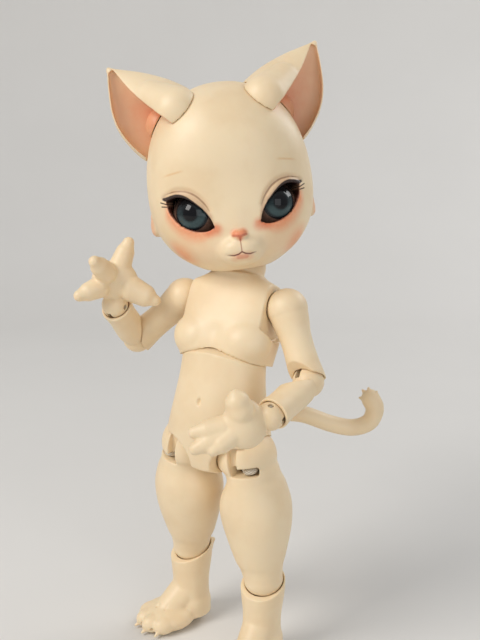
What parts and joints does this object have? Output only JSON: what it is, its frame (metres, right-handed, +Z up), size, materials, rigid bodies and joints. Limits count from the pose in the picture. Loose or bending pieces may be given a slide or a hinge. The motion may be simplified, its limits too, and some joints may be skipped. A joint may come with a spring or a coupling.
{
  "type": "ball jointed doll",
  "caption": "Cast resin cat doll with glass eyes, magnet-held ears and skull cap, strung with elastic through ball joints and standing on its two paws.",
  "frame": {"origin": "centre of the doll's footprint box on the floor it stands on", "axes": "+Z up, the body's front towards -Y, the doll's left side towards +X"},
  "size_m": [0.095, 0.0842, 0.2269],
  "materials": {
    "cast_resin": "smooth cast resin, satin",
    "braided_elastic": "braided elastic cord",
    "steel_wire": "bright wire",
    "nickel_magnet": "nickel plated",
    "grey_glass": "polished dark glass",
    "eye_putty": "soft matt putty"
  },
  "bodies": {
    "pelvis": {"lower_torso": "cast_resin", "left_hip_elastic": "braided_elastic", "right_hip_elastic": "braided_elastic", "tail_inner_elastic": "braided_elastic"},
    "waist_turning": {"waist_elastic": "braided_elastic"},
    "chest": {"upper_torso": "cast_resin", "torso_elastic": "braided_elastic", "chest_arm_elastic": "braided_elastic"},
    "neck_turning": {"neck_elastic": "braided_elastic"},
    "head": {"head_shell": "cast_resin", "left_eye": "grey_glass", "right_eye": "grey_glass", "left_eye_putty": "eye_putty", "right_eye_putty": "eye_putty", "neck_hook": "steel_wire", "left_head_magnet": "nickel_magnet", "right_head_magnet": "nickel_magnet", "shell_magnet_left": "nickel_magnet", "shell_magnet_right": "nickel_magnet"},
    "cap": {"head_cap": "cast_resin", "cap_magnet_left": "nickel_magnet", "cap_magnet_right": "nickel_magnet"},
    "left_ear": {"left_cat_ear": "cast_resin", "left_ear_magnet": "nickel_magnet"},
    "left_shoulder_turning": {"left_shoulder_bead": "braided_elastic"},
    "left_upper_arm_body": {"left_upper_arm": "cast_resin", "left_upper_arm_elastic": "braided_elastic", "left_elbow_bead": "braided_elastic"},
    "left_forearm_body": {"left_forearm": "cast_resin", "left_forearm_elastic": "braided_elastic"},
    "left_wrist_turning": {"left_wrist_hook": "steel_wire"},
    "left_hand_body": {"left_hand": "cast_resin", "left_wrist_pin": "steel_wire"},
    "left_hip_turning": {"left_hip_bead": "braided_elastic"},
    "left_thigh": {"left_upper_leg": "cast_resin", "left_leg_elastic": "braided_elastic"},
    "left_foot": {"left_lower_leg": "cast_resin", "left_foot_hook": "steel_wire", "left_foot_pin": "steel_wire"},
    "right_ear": {"right_cat_ear": "cast_resin", "right_ear_magnet": "nickel_magnet"},
    "right_shoulder_turning": {"right_shoulder_bead": "braided_elastic"},
    "right_upper_arm_body": {"right_upper_arm": "cast_resin", "right_upper_arm_elastic": "braided_elastic", "right_elbow_bead": "braided_elastic"},
    "right_forearm_body": {"right_forearm": "cast_resin", "right_forearm_elastic": "braided_elastic"},
    "right_wrist_turning": {"right_wrist_hook": "steel_wire"},
    "right_hand_body": {"right_hand": "cast_resin", "right_wrist_pin": "steel_wire"},
    "right_hip_turning": {"right_hip_bead": "braided_elastic"},
    "right_thigh": {"right_upper_leg": "cast_resin", "right_leg_elastic": "braided_elastic"},
    "right_foot": {"right_lower_leg": "cast_resin", "right_foot_hook": "steel_wire", "right_foot_pin": "steel_wire"},
    "tail_turning": {"tail_bead": "braided_elastic"},
    "tail_body": {"tail": "cast_resin", "tail_elastic": "braided_elastic"}
  },
  "joints": [
    {"name": "waist_turn", "type": "hinge", "parent": "pelvis", "child": "waist_turning", "pos_m": [0.00235, -0.00682, 0.09475], "axis": [-0.0085, 0.1045, 0.9945], "range_deg": [-15, 15]},
    {"name": "waist_lean", "type": "hinge", "parent": "waist_turning", "child": "chest", "pos_m": [0.00235, -0.00682, 0.09475], "axis": [0.9973, 0.0712, 0.0186], "range_deg": [-6, 6]},
    {"name": "neck_turn", "type": "hinge", "parent": "chest", "child": "neck_turning", "pos_m": [0.00034, 0.00839, 0.14444], "axis": [-0.0375, 0.274, 0.961], "range_deg": [-40, 40]},
    {"name": "neck_nod", "type": "hinge", "parent": "neck_turning", "child": "head", "pos_m": [0.00034, 0.00839, 0.14444], "axis": [0.7986, 0.5823, 0.1519], "range_deg": [-10, 7]},
    {"name": "cap_lift_off", "type": "slide", "parent": "head", "child": "cap", "axis": [-0.6008, 0.7566, 0.258], "range_m": [0, 0.01]},
    {"name": "left_ear_lift_off", "type": "slide", "parent": "head", "child": "left_ear", "axis": [0.4552, 0.4515, 0.7675], "range_m": [0, 0.008]},
    {"name": "left_shoulder_swing", "type": "hinge", "parent": "chest", "child": "left_shoulder_turning", "pos_m": [0.02235, 0.00526, 0.13215], "axis": [0.9973, 0.0712, 0.0186], "range_deg": [-60, 10]},
    {"name": "left_shoulder_raise", "type": "hinge", "parent": "left_shoulder_turning", "child": "left_upper_arm_body", "pos_m": [0.02235, 0.00526, 0.13215], "axis": [0.066, -0.977, 0.203], "range_deg": [-10, 40]},
    {"name": "left_elbow_bend", "type": "hinge", "parent": "left_upper_arm_body", "child": "left_forearm_body", "pos_m": [0.03419, 0.00109, 0.10824], "axis": [-0.8525, 0.24, -0.4644], "range_deg": [-68, 48]},
    {"name": "left_wrist_turn", "type": "hinge", "parent": "left_forearm_body", "child": "left_wrist_turning", "pos_m": [0.03191, -0.02067, 0.10118], "axis": [0.0991, 0.9464, 0.3073], "range_deg": [-30, 30]},
    {"name": "left_wrist_bend", "type": "hinge", "parent": "left_wrist_turning", "child": "left_hand_body", "pos_m": [0.03191, -0.02067, 0.10118], "axis": [-0.189, 0.3211, -0.928], "range_deg": [-65, 8]},
    {"name": "left_hip_turn", "type": "hinge", "parent": "pelvis", "child": "left_hip_turning", "pos_m": [0.01498, -0.0075, 0.07884], "axis": [-0.0085, 0.1045, 0.9945], "range_deg": [-10, 12]},
    {"name": "left_hip_swing", "type": "hinge", "parent": "left_hip_turning", "child": "left_thigh", "pos_m": [0.01498, -0.0075, 0.07884], "axis": [-1, 0, -0.0085], "range_deg": [-3, 40]},
    {"name": "left_hock_bend", "type": "hinge", "parent": "left_thigh", "child": "left_foot", "pos_m": [0.02274, -0.00628, 0.0325], "axis": [-0.9976, -0.0698, 0], "range_deg": [-2, 30]},
    {"name": "right_ear_lift_off", "type": "slide", "parent": "head", "child": "right_ear", "axis": [-0.7316, -0.4139, 0.5417], "range_m": [0, 0.008]},
    {"name": "right_shoulder_swing", "type": "hinge", "parent": "chest", "child": "right_shoulder_turning", "pos_m": [-0.02054, 0.0022, 0.13135], "axis": [0.9973, 0.0712, 0.0186], "range_deg": [-35, 35]},
    {"name": "right_shoulder_raise", "type": "hinge", "parent": "right_shoulder_turning", "child": "right_upper_arm_body", "pos_m": [-0.02054, 0.0022, 0.13135], "axis": [-0.0672, 0.9839, -0.1655], "range_deg": [-25, 24]},
    {"name": "right_elbow_bend", "type": "hinge", "parent": "right_upper_arm_body", "child": "right_forearm_body", "pos_m": [-0.04014, -0.00217, 0.1133], "axis": [-0.6478, 0.4872, 0.5856], "range_deg": [-116, 0]},
    {"name": "right_wrist_turn", "type": "hinge", "parent": "right_forearm_body", "child": "right_wrist_turning", "pos_m": [-0.03759, -0.01828, 0.12952], "axis": [-0.1109, 0.7003, -0.7052], "range_deg": [-30, 30]},
    {"name": "right_wrist_bend", "type": "hinge", "parent": "right_wrist_turning", "child": "right_hand_body", "pos_m": [-0.03759, -0.01828, 0.12952], "axis": [-0.9938, -0.079, 0.0778], "range_deg": [-75, 2]},
    {"name": "right_hip_turn", "type": "hinge", "parent": "pelvis", "child": "right_hip_turning", "pos_m": [-0.01001, -0.0075, 0.07863], "axis": [-0.0085, 0.1045, 0.9945], "range_deg": [-2, 10]},
    {"name": "right_hip_swing", "type": "hinge", "parent": "right_hip_turning", "child": "right_thigh", "pos_m": [-0.01001, -0.0075, 0.07863], "axis": [-1, 0, -0.0085], "range_deg": [-3, 40]},
    {"name": "right_hock_bend", "type": "hinge", "parent": "right_thigh", "child": "right_foot", "pos_m": [-0.01468, 0.00022, 0.0325], "axis": [-0.9063, 0.4226, 0], "range_deg": [-2, 30]},
    {"name": "tail_turn", "type": "hinge", "parent": "pelvis", "child": "tail_turning", "pos_m": [0.00242, 0.00652, 0.08581], "axis": [-0.0047, -0.8329, 0.5533], "range_deg": [-30, 30]},
    {"name": "tail_lift", "type": "hinge", "parent": "tail_turning", "child": "tail_body", "pos_m": [0.00242, 0.00652, 0.08581], "axis": [1, 0, 0.0085], "range_deg": [-10, 10]}
  ]
}
